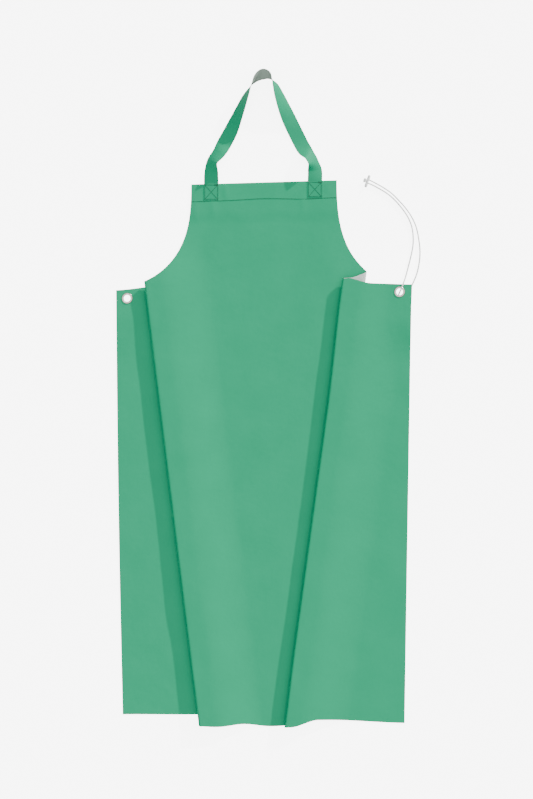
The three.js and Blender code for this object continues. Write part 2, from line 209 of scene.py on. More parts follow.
def tube(name, path, radius, sides, material):
    """A round cord along a path, closed with a cone at each end."""
    heading = np.gradient(path, axis=0)
    heading /= np.linalg.norm(heading, axis=1)[:, None]
    side = np.cross(heading[0], (0, 0, 1.0))
    travelled = np.concatenate([[0], np.cumsum(np.linalg.norm(np.diff(path, axis=0), axis=1))])
    vertices, uv, faces = [], [], []
    for i, ahead in enumerate(heading):
        side = side - ahead * (side @ ahead)
        side /= np.linalg.norm(side)
        other = np.cross(ahead, side)
        for turn in np.arange(sides) * 2 * math.pi / sides:
            vertices.append(path[i] + radius * (math.cos(turn) * side + math.sin(turn) * other))
            uv.append((turn * radius, travelled[i]))
    for i in range(len(path) - 1):
        for k in range(sides):
            a, b = i * sides + k, i * sides + (k + 1) % sides
            faces.append((a, b, b + sides, a + sides))
    for end, step in ((0, -1), (len(path) - 1, 1)):
        tip = len(vertices)
        vertices.append(path[end] + heading[end] * step * radius * 0.5)
        uv.append((0, travelled[end]))
        for k in range(sides):
            a, b = end * sides + k, end * sides + (k + 1) % sides
            faces.append((b, a, tip) if step < 0 else (a, b, tip))
    return new_piece(name, vertices, faces, uv, [material])


# Two sets of yarns cross over each other round the cord. Their pattern gives the bump, and it also
# paints the hollows between them darker as painted shade.
BRAID = 2 * math.pi / (1.9 * MM)
white_cord = Finish("braided_cord")
_, around, along = white_cord.across_and_along()
one_way = (around * BRAID + along * BRAID).sine()
other_way = (around * BRAID - along * BRAID).sine()
yarn_and_hollow_shade = one_way * other_way * 0.5 + 0.5
# The cord's colour is pale on the yarns and darker in their hollows: painted shade.
white_cord.set(
    Base_Color=white_cord.mix(yarn_and_hollow_shade, (0.78, 0.79, 0.77), (0.94, 0.95, 0.93)),
    Roughness=0.75)
white_cord.bump(yarn_and_hollow_shade, 0.25 * MM)

cord_path = to_row(smooth_path(CORD_ROUTE, 6))
cord = tube("tie_cord_braid", cord_path, CORD / 2 * MM, 12, white_cord.material)


# The bar toggle is moulded white plastic, a little thinner at the waist where the cord grips it.
# The knot is the cord's two ends, wound round each other on the bar's far side.
toggle_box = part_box("toggle")
knot_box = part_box("cord_knot")
toggle_middle = np.array((toggle_box[0] + toggle_box[1]) / 2)
knot_middle = np.array((knot_box[0] + knot_box[1]) / 2)
TOGGLE_TURN = math.radians(-19.5)
TOGGLE_LENGTH = 28.5 * MM
TOGGLE_RADIUS = 2.9 * MM
bar_way = np.array([-math.sin(TOGGLE_TURN), math.cos(TOGGLE_TURN), 0.0])
bar_side = np.array([math.cos(TOGGLE_TURN), math.sin(TOGGLE_TURN), 0.0])
UP = np.array([0, 0, 1.0])


def revolve(name, outline, middle, axis, side, segments, material, closed):
    """Turns an outline of (radius, height) about an axis. An outline with ends has them on it."""
    other = np.cross(axis, side)
    vertices, uv, faces = [], [], []
    rings = []
    for radius, height in outline:
        count = 1 if radius < 1e-7 else segments
        rings.append([len(vertices) + k % count for k in range(segments)])
        for k in range(count):
            turn = 2 * math.pi * k / segments
            out = math.cos(turn) * side + math.sin(turn) * other
            vertices.append(middle + axis * height + out * radius)
            uv.append((turn * radius, height))
    pairs = list(zip(rings, rings[1:] + rings[:1])) if closed else list(zip(rings, rings[1:]))
    for low, high in pairs:
        for k in range(segments):
            m = (k + 1) % segments
            corners = (low[k], low[m], high[m], high[k])
            faces.append(tuple(dict.fromkeys(corners)))
    return new_piece(name, vertices, faces, uv, [material])


white_plastic = Finish("moulded_plastic")
place = white_plastic.node("ShaderNodeTexCoord", output="Object")
speckle = white_plastic.noise(place, 900)
white_plastic.set(
    Base_Color=white_plastic.mix(speckle, (0.80, 0.81, 0.80), (0.90, 0.91, 0.90)),
    Roughness=speckle * 0.15 + 0.28)
white_plastic.bump(speckle, 0.03 * MM)

BAR_STEPS = 28
bar_outline = []
for step in range(BAR_STEPS + 1):
    bend = math.pi * step / BAR_STEPS
    height = -TOGGLE_LENGTH / 2 * math.cos(bend)
    to_end = TOGGLE_LENGTH / 2 - abs(height)
    full = min(to_end / TOGGLE_RADIUS, 1)
    waist = 1 - 0.06 * math.exp(-(height / (4 * MM)) ** 2)
    bar_outline.append((TOGGLE_RADIUS * math.sqrt(max(full * (2 - full), 0)) * waist, height))
toggle = revolve(
    "toggle_bar", bar_outline, toggle_middle, bar_way, bar_side, 32, white_plastic.material, False)

KNOT_TURNS = 3
KNOT_YARN = 1.5 * MM
KNOT_REACH = (1.9 * MM, 1.2 * MM)
KNOT_HALF_LENGTH = 3.4 * MM
knot_path = []
for t in np.linspace(-1, 1, 97):
    turn = math.pi * KNOT_TURNS * t
    full = math.sqrt(1 - 0.6 * t * t)
    out = (bar_side * math.cos(turn) * KNOT_REACH[0] + UP * math.sin(turn) * KNOT_REACH[1]) * full
    knot_path.append(knot_middle + bar_way * t * KNOT_HALF_LENGTH + out)
knot = tube("cord_end_knot", np.array(knot_path), KNOT_YARN, 12, white_cord.material)

for piece, node, slot in ((toggle, "toggle", "white_plastic"), (knot, "cord_knot", "white_cord")):
    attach(piece, "toggle")
    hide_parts(node)

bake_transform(cord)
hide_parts("tie_cord")


# The apron cloth is one sheet, cut to a bib and skirt. It is a woven cloth with a satin green
# coating on its front and a fine white knit on its back. These sizes are those of the flat cut.
CLOTH = 0.8
LYING = CLOTH / 2
HALF_WIDTH = 415
LEFT_HEM_RISE = 18
LEFT_HEM_RAMP = 60
RIGHT_HEM_TUCK, RIGHT_HEM_RAMP = 14, 36
BIB_TOP = 1196
BIB_SLOPE = 0.029
BIB_FROM = 1000
ARMHOLE_SIDE, ARMHOLE_TOP, ARMHOLE_DEPTH = 958, 1205, 255
ARMHOLE_POWERS = (3, 2.75)


def ramp(x, low, high):
    t = np.clip((x - low) / (high - low), 0, 1)
    return t * t * (3 - 2 * t)


def half_width_at(y):
    down = np.clip((ARMHOLE_TOP - y) / (ARMHOLE_TOP - ARMHOLE_SIDE), 0, 1)
    return HALF_WIDTH - ARMHOLE_DEPTH * (1 - down ** ARMHOLE_POWERS[1]) ** (1 / ARMHOLE_POWERS[0])


def armhole_height_at(x):
    inward = np.clip((HALF_WIDTH - x) / ARMHOLE_DEPTH, 0, 1)
    reach = (1 - inward ** ARMHOLE_POWERS[0]) ** (1 / ARMHOLE_POWERS[1])
    return ARMHOLE_TOP - (ARMHOLE_TOP - ARMHOLE_SIDE) * reach


# A pleat is folded down each side of the skirt. Each crease is where its hinge is, and the cloth
# turns over on a small radius there. The left pleat goes under the front, the right one over it.
FOLD_RADIUS = 4
FOLD_ARC = math.pi * FOLD_RADIUS
STACK = 4 * FOLD_RADIUS
SAG_START, SAG_LENGTH, CORNER_SAG_LENGTH = 30, 110, 70
EYELET_DEPTH = 1.8
RIGHT_CORNER_HEIGHT = EYELET_DEPTH + CORD + 1
CORNER_FROM, CORNER_FULL = 800, 900
CORNER_RAMP = (20, 60)
joints = {joint["name"]: joint for joint in frame["joints"]}


def line_through(point, along):
    along = along * np.sign(along[1]) / np.linalg.norm(along)
    return point, np.array([along[1], -along[0]])


def laid_crease(joint, side):
    """A hinge's line, as a point in the cut's millimetres and the direction outward across it."""
    mirror = np.array([side, 1])
    point = (np.array(joint["pos_m"][:2]) - origin[:2]) / MM * mirror
    return line_through(point, np.array(joint["axis"][:2]) * mirror)


def beyond(points, crease):
    return (points - crease[0]) @ crease[1]


def turn_over(points, crease):
    shift = FOLD_ARC - 2 * beyond(points, crease)
    return points + np.multiply.outer(shift, crease[1])


def fold_at(points, crease):
    past = beyond(points, crease)
    turn = np.clip(past / FOLD_RADIUS, 0, math.pi)
    laid_back = np.maximum(past - FOLD_ARC, 0)
    across = np.where(past <= 0, past, FOLD_RADIUS * np.sin(turn) - laid_back)
    moved = points + np.multiply.outer(across - past, crease[1])
    return moved, FOLD_RADIUS * (1 - np.cos(turn))


class Pleat:
    def __init__(self, side, near, far):
        self.side = side
        self.first = laid_crease(joints[near], side)
        self.laid_far = laid_crease(joints[far], side)
        ahead = np.array([-self.laid_far[1][1], self.laid_far[1][0]]) * BIB_TOP
        low = turn_over(self.laid_far[0], self.first)
        self.second = line_through(low, turn_over(self.laid_far[0] + ahead, self.first) - low)

    def height(self, points, lift):
        corner = ramp(points[..., 1], CORNER_FROM, CORNER_FULL)
        past = beyond(points, self.laid_far)
        on_panel = lift > STACK - 1e-6
        if self.side < 0:
            raised = np.where(on_panel, ramp(past, *CORNER_RAMP) * corner, 0)
            return LYING + STACK - lift + (EYELET_DEPTH - LYING) * raised
        low = LYING + (RIGHT_CORNER_HEIGHT - LYING) * corner
        length = SAG_LENGTH + (CORNER_SAG_LENGTH - SAG_LENGTH) * corner
        fallen = ramp((past - SAG_START) / length, 0, 1)
        hanging = LYING + STACK + (low - LYING - STACK) * fallen
        return np.where(on_panel, hanging, LYING + lift)

    def lay(self, u, v):
        """Points of the flat cut, u outward and v up from the hem, as they lie once folded."""
        outer, outer_lift = fold_at(np.stack([u, v], -1), self.second)
        inner, inner_lift = fold_at(outer, self.first)
        turned = (outer_lift > 0)[..., None]
        inner = np.where(turned, turn_over(outer, self.first), inner)
        lift = outer_lift + np.where(outer_lift > 0, 2 * FOLD_RADIUS, inner_lift)
        z = self.height(inner, lift)
        return np.stack([self.side * inner[..., 0], inner[..., 1], z], -1)


LEFT = Pleat(-1, "left_pleat", "left_pleat_rear")
RIGHT = Pleat(1, "right_pleat", "right_pleat_front")


def along_line(crease, offset):
    point, outward = crease
    return lambda v: point[0] + (offset - (v - point[1]) * outward[1]) / outward[0]


def front_height(x, v):
    from_crease = beyond(np.stack([-x, v], -1), LEFT.first)
    over_pleat = 1 - ramp(-from_crease, SAG_START, SAG_START + SAG_LENGTH)
    below_bib = 1 - ramp(v, ARMHOLE_SIDE + 20, BIB_TOP - 60)
    over_hem = 2 * HEM_RADIUS * ramp(v, BIB_TOP - 90, BIB_TOP - 60)
    return LYING + STACK * over_pleat * below_bib + over_hem


# The sheet is one grid of points: rows from the hem up to the armhole, and columns that follow the
# creases. It is parted into four pieces inside the pleats, because a piece bends at one hinge only.
# The tucks are how far from a fold, out of sight, it is parted in a gusset and in the front.
HEM_RADIUS = 0.7
HEM_DEPTH = 38
GUSSET_TUCK, FRONT_TUCK = 6.5, 22
ROWS, BIB_ROWS, HEM_TURN_ROWS, HEM_ROWS = 190, 52, 6, 8
FOLD_COLUMNS, NARROW_COLUMNS, WIDE_COLUMNS, SIDE_COLUMNS = 12, 2, 14, 60
FRONT_COLUMNS, TUCK_COLUMNS = 84, 4
SETTLING_STEPS = 14


def side_columns(pleat):
    """The lines that bound the bands of one side, from the centre outward, with their columns."""
    first, second = pleat.first, pleat.second
    if pleat.side < 0:
        parting = along_line(first, FOLD_ARC + GUSSET_TUCK)
        gusset = [NARROW_COLUMNS, WIDE_COLUMNS]
    else:
        parting = along_line(second, -GUSSET_TUCK)
        gusset = [WIDE_COLUMNS, NARROW_COLUMNS]
    lines = [along_line(first, 0), along_line(first, FOLD_ARC), parting, along_line(second, 0),
             along_line(second, FOLD_ARC), lambda v: HALF_WIDTH + 0 * v]
    return lines, [FOLD_COLUMNS, *gusset, FOLD_COLUMNS, SIDE_COLUMNS]


def side_grid(pleat):
    lines, counts = side_columns(pleat)
    grids, share = [], np.linspace(0, 1, ROWS + 1)[:, None]
    for inner, outer, count in zip(lines, lines[1:], counts):
        t = np.linspace(0, 1, count + 1)[None, :]
        t = t if inner is lines[0] else t[:, 1:]
        line = lambda v, a=inner, b=outer, t=t: a(v) * (1 - t) + b(v) * t
        top = np.full_like(t, ARMHOLE_SIDE)
        for _ in range(SETTLING_STEPS):
            top = armhole_height_at(line(top))
        foot = np.stack([line(0 * t), 0 * t], -1)
        hem = LEFT_HEM_RISE * ramp(beyond(foot, pleat.first), 0, LEFT_HEM_RAMP)
        if pleat.side > 0:
            hem = RIGHT_HEM_TUCK * ramp(-beyond(foot, pleat.second), 0, RIGHT_HEM_RAMP)
        v = hem + (top - hem) * share
        grids.append(np.stack([line(v), v], -1))
    return np.concatenate(grids, 1), np.cumsum(counts)


left_cut, left_bands = side_grid(LEFT)
right_cut, right_bands = side_grid(RIGHT)
left_laid = LEFT.lay(left_cut[..., 0], left_cut[..., 1])
right_laid = RIGHT.lay(right_cut[..., 0], right_cut[..., 1])

# The front's columns run from the left pleat's near crease to the right one's. Its rows are the
# pleats' own rows, and then the bib's up to its top edge.
tuck_share = FRONT_TUCK / (left_cut[0, 0, 0] + right_cut[0, 0, 0])
front_share = np.concatenate([
    np.linspace(0, 1 - tuck_share, FRONT_COLUMNS - TUCK_COLUMNS + 1),
    np.linspace(1 - tuck_share, 1, TUCK_COLUMNS + 1)[1:]])
left_v = left_cut[:, 0, 1]
down_share = np.linspace(1, 0, ROWS + 1)
right_v = right_cut[:, 0, 1] - RIGHT_HEM_TUCK * down_share
up = np.linspace(0, 1, BIB_ROWS + 1)[1:]
bib_left_v = left_v[-1] + (BIB_TOP - left_v[-1]) * up
bib_right_v = right_v[-1] + (BIB_TOP - right_v[-1]) * up
edge_v = np.stack([np.concatenate([left_v, bib_left_v]), np.concatenate([right_v, bib_right_v])], -1)
edge_x = np.stack([
    -np.concatenate([left_cut[:, 0, 0], half_width_at(bib_left_v)]),
    np.concatenate([right_cut[:, 0, 0], half_width_at(bib_right_v)])], -1)
front_x = edge_x[:, :1] + (edge_x[:, 1:] - edge_x[:, :1]) * front_share
front_v = edge_v[:, :1] + (edge_v[:, 1:] - edge_v[:, :1]) * front_share
tucked = RIGHT_HEM_TUCK * ramp(front_x[:ROWS + 1] - front_x[:ROWS + 1, -1:], -RIGHT_HEM_RAMP, 0)
front_v[:ROWS + 1] += tucked * down_share[:, None]
front_y = front_v + BIB_SLOPE * front_x * ramp(front_v, BIB_FROM, BIB_TOP)
front_laid = np.stack([front_x, front_y, front_height(front_x, front_v)], -1)

# The bib's top edge is turned under and sewn down, so the grid goes on round a tight half turn.
turns = np.concatenate([np.linspace(0, math.pi, HEM_TURN_ROWS + 1)[1:], np.full(HEM_ROWS, math.pi)])
flange = np.concatenate([np.zeros(HEM_TURN_ROWS), np.linspace(0, HEM_DEPTH, HEM_ROWS + 1)[1:]])
hem_v = BIB_TOP + HEM_RADIUS * np.sin(turns) - flange
hem_half = half_width_at(np.minimum(hem_v, BIB_TOP))[:, None]
on_flange = (turns > 3)[:, None]
hem_inset = np.where(front_share < 0.5, 1, -1) * CLOTH * on_flange
hem_x = -hem_half + 2 * hem_half * front_share + hem_inset
hem_laid = np.stack([
    hem_x, hem_v[:, None] + BIB_SLOPE * hem_x,
    (LYING + HEM_RADIUS * (1 + np.cos(turns)))[:, None] + 0 * hem_x], -1)
hem_cut = np.stack([hem_x, (BIB_TOP + HEM_RADIUS * turns + flange)[:, None] + 0 * hem_x], -1)
front_laid = np.concatenate([front_laid, hem_laid])
front_cut = np.concatenate([np.stack([front_x, front_v], -1), hem_cut])

# One table of points holds the whole sheet. The left side's columns run inward to the front.
left_part = left_laid[:, :0:-1]
right_part = right_laid[:, 1:]
below = np.concatenate([left_part, front_laid[:ROWS + 1], right_part], 1)
mirror = np.array([-1, 1])
below_cut = np.concatenate([(left_cut * mirror)[:, :0:-1], front_cut[:ROWS + 1], right_cut[:, 1:]], 1)
above, above_cut = front_laid[ROWS + 1:], front_cut[ROWS + 1:]
left_count, columns = left_part.shape[1], below.shape[1]
front_count = front_laid.shape[1]
points = np.concatenate([below.reshape(-1, 3), above.reshape(-1, 3)])
cut = np.concatenate([below_cut.reshape(-1, 2), above_cut.reshape(-1, 2)])


# Cloth that lies on a table is never quite flat. It has broad soft rises, faint ripples that run
# down from the right eyelet, and a hem that wanders a little. All of it fades out at the fittings.
def rises(u, v):
    soft = noise.noise((u / 150, v / 190, 1.7)) + 0.5 * noise.noise((u / 60, v / 85, 5.1))
    return 1.1 * max(soft + 0.25, 0)


RIPPLE_WAY = np.array([math.sin(math.radians(24)), -math.cos(math.radians(24))])
RIGHT_EYELET = (298, 956)


def ripples(x, y):
    apart = np.stack([x - RIGHT_EYELET[0], y - RIGHT_EYELET[1]], -1)
    down = apart @ RIPPLE_WAY
    across = apart @ np.array([RIPPLE_WAY[1], -RIPPLE_WAY[0]])
    fade = np.exp(-(across / 70) ** 2) * ramp(down, 20, 90) * (1 - ramp(down, 200, 420))
    return 0.45 * fade * (1 + np.sin(across / 9))


def away_from(x, y, spot, near, far):
    return ramp(np.hypot(x - spot[0], y - spot[1]), near, far)


calm = 1
for spot in (LEFT_EYELET, RIGHT_EYELET):
    calm = calm * away_from(points[:, 0], points[:, 1], spot, 14, 50)
calm = calm * (1 - ramp(cut[:, 1], BIB_TOP - 130, BIB_TOP - 60))
soft = np.array([rises(u, v) for u, v in cut])
points[:, 2] += calm * (soft + ripples(points[:, 0], points[:, 1]))

# How far up the skirt the hem's wandering reaches before it has faded out.
HEM_REACH = 150


def hem_shift(x, u, v):
    """How far each point is pulled along the cloth, so that the hem wanders as it really lies. The
    front's hem waves, the right panel's is lowest at its crease, and the left one's slopes."""
    front = 3.6 * np.exp(-((x + 45) / 80) ** 2) * np.cos((x + 45) * math.pi / 70) + 2.4
    past = beyond(np.stack([x, 0 * x], -1), RIGHT.laid_far)
    panel = -14 + 17 * ramp(past, 8, 72) - 5 * ramp(past, 90, 260)
    inside = -beyond(np.stack([u, v], -1), RIGHT.second)
    side = np.where(inside < 0, panel, -14 * (1 - ramp(inside, 0, 22)))
    under = np.where(u > 0, ramp(beyond(np.stack([u, v], -1), RIGHT.first), -30, 0), 0)
    on_left = beyond(np.stack([-u, v], -1), LEFT.first) > FOLD_ARC
    left = -1 - 2.8 * ramp(x, -310, -150)
    return np.where(on_left, left, front * (1 - under) + side * under)


points[:, 1] += hem_shift(points[:, 0], cut[:, 0], cut[:, 1]) * (1 - ramp(cut[:, 1], 0, HEM_REACH))


def settle(x, y, u, v, z):
    """How far the side panels' edges and the two folded corners lie from where they were laid."""
    across, along = np.zeros_like(x), np.zeros_like(x)
    top = ramp(v, 900, 958)
    outer = ramp(np.abs(x), 180, 300)

    # The left panel's outer edge bows outward, and its top edge lies lower.
    on_left = beyond(np.stack([-u, v], -1), LEFT.second) > FOLD_ARC
    across -= np.where(on_left, (1.5 + 2.4 * np.sin(np.clip(v / 950, 0, 1) * math.pi)) * outer, 0)
    along -= np.where(on_left, (5.3 * ramp(-x, 240, 330) + 2.5) * top, 0)

    # The right fold leans inward near its top. The right panel's top edge lies lower at its crease
    # and higher further out, and its outer edge lies further out.
    inside = beyond(np.stack([u, v], -1), RIGHT.second)
    past = beyond(np.stack([x, y], -1), RIGHT.laid_far)
    high = ramp(y, 700, 960)
    over = (u > 0) & (z > 7) & (inside > -40)
    across -= np.where(over, 5 * high * np.exp(-(past / 32) ** 2), 0)
    on_right = (u > 0) & (inside > FOLD_ARC / 2)
    dip = 1.9 * np.exp(-((past - 45) / 18) ** 2)
    corner = -1.3 + 5.1 * ramp(past, -2, 12) - dip + 1.2 * ramp(past, 60, 100)
    along += np.where(on_right, corner * top, 0)
    across += np.where(on_right, 1.5 * outer + 1.2 * outer * top, 0)

    # The right gusset's top edge lies lower, and its folded tip reaches further out.
    gusset = (u > 0) & (inside <= FOLD_ARC / 2)
    from_near = beyond(np.stack([u, v], -1), RIGHT.first)
    on_gusset = gusset & (from_near > FOLD_ARC)
    along -= np.where(on_gusset, (2.5 + 2 * np.exp(-((past - 14) / 12) ** 2)) * ramp(v, 900, 980), 0)
    near_tip = np.exp(-(np.maximum(from_near - FOLD_ARC, -from_near).clip(0) / 26) ** 2)
    across += np.where(gusset, 3.6 * near_tip * ramp(y, 850, 985), 0)
    along -= np.where(gusset & ~on_gusset, 2.5 * near_tip * ramp(v, 900, 980), 0)
    return np.stack([across, along], -1)


points[:, :2] += settle(points[:, 0], points[:, 1], cut[:, 0], cut[:, 1], points[:, 2])

# The sewing pulls the cloth into low ridges beside and below the two boxed crosses.
for x, y, across, along, height in (
        (-84, 1176, 6, 16, 1.0), (-112, 1140, 8, 16, 0.9), (141, 1184, 6, 15, 0.8),
        (86, 1150, 7, 18, 0.6), (-150, 1130, 8, 26, 0.6)):
    apart = ((points[:, 0] - x) / across) ** 2 + ((points[:, 1] - y) / along) ** 2
    upper_layer = cut[:, 1] < BIB_TOP - 2
    points[:, 2] += np.where(upper_layer, height * np.exp(-apart), 0)


def grid_faces(rows, first, last, start, width):
    """The squares between two columns of a grid that is width wide and begins at point start."""
    faces = []
    for i in range(*rows):
        for j in range(first, last):
            a = start + i * width + j
            faces.append((a, a + 1, a + 1 + width, a + width))
    return faces


front_first, front_last = left_count, left_count + front_count - 1
upper_start = below.shape[0] * columns
left_tuck = left_count - left_bands[1]
tuck_column = front_last - TUCK_COLUMNS
right_tuck = front_last + right_bands[1]
bridge = []
for j in range(front_count - 1):
    a, b = ROWS * columns + front_first + j, upper_start + j
    bridge.append((a, a + 1, b + 1, b))
upper = grid_faces((0, above.shape[0] - 1), 0, front_count - 1, upper_start, front_count)
sheet_faces = {
    "left_side_cloth": grid_faces((0, ROWS), 0, left_tuck, 0, columns),
    "front_cloth": grid_faces((0, ROWS), left_tuck, tuck_column, 0, columns) + bridge + upper,
    "right_pleat_cloth": grid_faces((0, ROWS), tuck_column, right_tuck, 0, columns),
    "right_side_cloth": grid_faces((0, ROWS), right_tuck, columns - 1, 0, columns),
}


def vertex_normals(points, faces):
    quads = np.array(faces)
    one = points[quads[:, 2]] - points[quads[:, 0]]
    other = points[quads[:, 3]] - points[quads[:, 1]]
    crossed = np.cross(one, other)
    normals = np.zeros_like(points)
    for corner in range(4):
        np.add.at(normals, quads[:, corner], crossed)
    return normals / np.maximum(np.linalg.norm(normals, axis=1), 1e-12)[:, None]


def open_edges(faces):
    """The sides of the faces that no other face shares."""
    sides = dict.fromkeys((a, b) for face in faces for a, b in zip(face, face[1:] + face[:1]))
    return [(a, b) for a, b in sides if (b, a) not in sides]


def shell(name, points, normals, faces, outline, uv, materials):
    """Cloth round a middle surface: its front, its back and its edges. An edge of the whole sheet's
    outline shows the back's material, and one where the sheet is only parted shows the front's."""
    used = sorted({i for face in faces for i in face})
    number = {old: new for new, old in enumerate(used)}
    count = len(used)
    middle, away = points[used], normals[used] * CLOTH / 2
    front = [tuple(number[i] for i in face) for face in faces]
    back = [tuple(count + i for i in reversed(face)) for face in front]
    edges = open_edges(front)
    rim = [(b, a, a + count, b + count) for a, b in edges]
    rim_slots = [1 if (used[a], used[b]) in outline else 0 for a, b in edges]
    slots = [0] * len(front) + [1] * len(back) + rim_slots
    vertices = np.concatenate([middle + away, middle - away])
    pattern = np.concatenate([uv[used], uv[used]])
    return new_piece(name, to_row(vertices), front + back + rim, pattern, materials, slots)


# The green coating is smooth and satin over a fine weave, and it is a little uneven from place to
# place. The back is a fine white knit, in ribs that run up the cloth.
WEAVE = 2 * math.pi / (0.9 * MM)
RIB = 2 * math.pi / (1.3 * MM)


def coated_finish(name, deep, pale):
    finish = Finish(name)
    pattern, across, along = finish.across_and_along()
    weave = (across * WEAVE).sine() * (along * WEAVE).sine()
    clouds = finish.noise(pattern, 14)
    grain = finish.noise(pattern, 2200, 2.0)
    crease = finish.noise(pattern, 55, 4.0)
    finish.set(
        Base_Color=finish.mix(clouds * 0.7 + grain * 0.3, deep, pale),
        Roughness=clouds * 0.10 + grain * 0.12 + 0.40)
    finish.shader.inputs["Specular IOR Level"].default_value = 0.08
    finish.bump(weave * 0.03 + grain * 0.06 + crease * 1.2, 0.35 * MM)
    return finish.material


def knit_finish(name, deep, pale):
    finish = Finish(name)
    pattern, across, along = finish.across_and_along()
    ribs = (across * RIB + (along * RIB * 2).sine() * 0.8).sine() * 0.5 + 0.5
    fuzz = finish.noise(pattern, 1600)
    finish.set(
        Base_Color=finish.mix(ribs * 0.6 + fuzz * 0.4, deep, pale),
        Roughness=0.85)
    finish.bump(ribs + fuzz * 0.5, 0.12 * MM)
    return finish.material


coated_cloth = coated_finish("coated_cloth", (0.001, 0.262, 0.120), (0.004, 0.318, 0.150))
knit = knit_finish("knitted_back", (0.40, 0.47, 0.43), (0.60, 0.68, 0.63))
every_face = [face for faces in sheet_faces.values() for face in faces]
sheet_normals = vertex_normals(points, every_face)
sheet_outline = set(open_edges(every_face))
uv = cut * MM
cloth = {
    name: shell(name, points, sheet_normals, faces, sheet_outline, uv, [coated_cloth, knit])
    for name, faces in sheet_faces.items()
}


def punch(piece, spot, radius):
    """Cuts the round hole that an eyelet is set in."""
    bpy.ops.mesh.primitive_cylinder_add(vertices=48, radius=radius * MM, depth=60 * MM)
    drill = bpy.context.object
    drill.location = to_row((*spot, 0))
    modifier = piece.modifiers.new("hole", "BOOLEAN")
    modifier.operation, modifier.object = "DIFFERENCE", drill
    evaluated = piece.evaluated_get(bpy.context.evaluated_depsgraph_get())
    holed = bpy.data.meshes.new_from_object(evaluated)
    piece.modifiers.remove(modifier)
    piece.data = holed
    bpy.data.objects.remove(drill)


HOLE_RADIUS = 8.6
punch(cloth["left_side_cloth"], LEFT_EYELET, HOLE_RADIUS)
punch(cloth["right_side_cloth"], RIGHT_EYELET, HOLE_RADIUS)


def flat_size(faces):
    """The width and length that a piece is cut from, and its own area, in metres."""
    quads = np.array(faces)
    corners = uv[np.unique(quads)]
    size = corners.max(0) - corners.min(0)
    one, other = uv[quads[:, 2]] - uv[quads[:, 0]], uv[quads[:, 3]] - uv[quads[:, 1]]
    area = abs(one[:, 0] * other[:, 1] - one[:, 1] * other[:, 0]).sum() / 2
    return tuple(float(s) for s in size), float(area)


# A rear fold bends between two heights above the table. A front fold starts to bend at one height and
# does so over a rise. The cloth on top of it comes down to the table further on, so the place where
# it bends leans along the layers by a little. Below, two points that give this lean are found for
# each front fold; nothing in the script uses them.
FRONT_BEND, FRONT_BEND_RISE, FRONT_BEND_SLOPE = 9.3, 6.2, 0.0215


def oblique(crease, side, inward):
    """Where a front fold starts and ends bending: it leans along the layers as it rises."""
    way = np.array([crease[1][0] * side, crease[1][1], 0]) * inward
    gradient = way * FRONT_BEND_SLOPE + UP / FRONT_BEND_RISE
    start = np.array([crease[0][0] * side, crease[0][1], FRONT_BEND])
    return to_row(start), to_row(start + gradient / (gradient @ gradient))


left_start, left_end = oblique(LEFT.first, -1, -1)
right_start, right_end = oblique(RIGHT.laid_far, 1, 1)
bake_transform(cloth["left_side_cloth"])
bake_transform(cloth["front_cloth"])
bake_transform(cloth["right_pleat_cloth"])
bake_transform(cloth["right_side_cloth"])
stands_for = {
    "left_side_cloth": ["left_side_panel", "left_rear_fold", "left_gusset"],
    "front_cloth": ["front_panel", "left_front_fold", "top_hem"],
    "right_pleat_cloth": ["right_rear_fold", "right_gusset"],
    "right_side_cloth": ["right_front_fold", "right_side_panel"],
}
for name, piece in cloth.items():
    size, area = flat_size(sheet_faces[name])
    area = min(area, size[0] * size[1])
    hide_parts(*stands_for[name])


# The neck strap is a strip of the same cloth. Both ends are sewn flat on the bib's front, and
# between them it stands on edge off the table, leans outward over the top and shows its back.
STRAP_WIDTH, STRAP_LAP = 32, 35
STRAP_STEPS, LAP_STEPS, STRAP_COLUMNS = 9, 14, 12
STRAP_STATIONS = [
    (-116, 1193, 0), (-116, 1216, 16), (-114, 1241, 42), (-98, 1263, 26),
    (-86.5, 1284, 5), (-73, 1309, 16), (-61.6, 1335, 37), (-50.6, 1361, 52),
    (-39.2, 1388, 67), (-26, 1412.5, 92), (-14, 1427, 118), (-2, 1433.5, 132),
    (8.5, 1431, 118), (16.5, 1423.5, 92), (24.5, 1411, 68), (33.3, 1388, 49),
    (44, 1361, 31), (56.3, 1333, 10), (73.4, 1298, 0), (87, 1272, 8),
    (100.3, 1255, 40), (108, 1241, 42), (112, 1222, 12), (112, 1199, 0),
]
FOOT_STATIONS, FOOT_GAP = 1.6, 0.3
ON_FOOT = 2 * HEM_RADIUS + CLOTH + FOOT_GAP + CLOTH / 2
LEFT_FOOT, RIGHT_FOOT = STRAP_STATIONS[0], STRAP_STATIONS[-1]

plan = smooth_path([station[:2] for station in STRAP_STATIONS], STRAP_STEPS)
tilt = smooth_path([(i, station[2]) for i, station in enumerate(STRAP_STATIONS)], STRAP_STEPS)[:, 1]
lap = np.linspace(STRAP_LAP, 0, LAP_STEPS + 1)[:-1]
plan = np.vstack([
    [(LEFT_FOOT[0], LEFT_FOOT[1] - down) for down in lap], plan,
    [(RIGHT_FOOT[0], RIGHT_FOOT[1] - down) for down in lap[::-1]]])
tilt = np.radians(np.concatenate([0 * lap, tilt, 0 * lap]))
heading = np.gradient(plan, axis=0)
heading /= np.linalg.norm(heading, axis=1)[:, None]
station = (np.arange(len(plan)) - len(lap)) / STRAP_STEPS
from_foot = np.minimum(station, len(STRAP_STATIONS) - 1 - station)
outer_edge = ON_FOOT + (CLOTH - ON_FOOT) * ramp(from_foot, 0, FOOT_STATIONS)
reach = np.linspace(-STRAP_WIDTH / 2, STRAP_WIDTH / 2, STRAP_COLUMNS + 1)
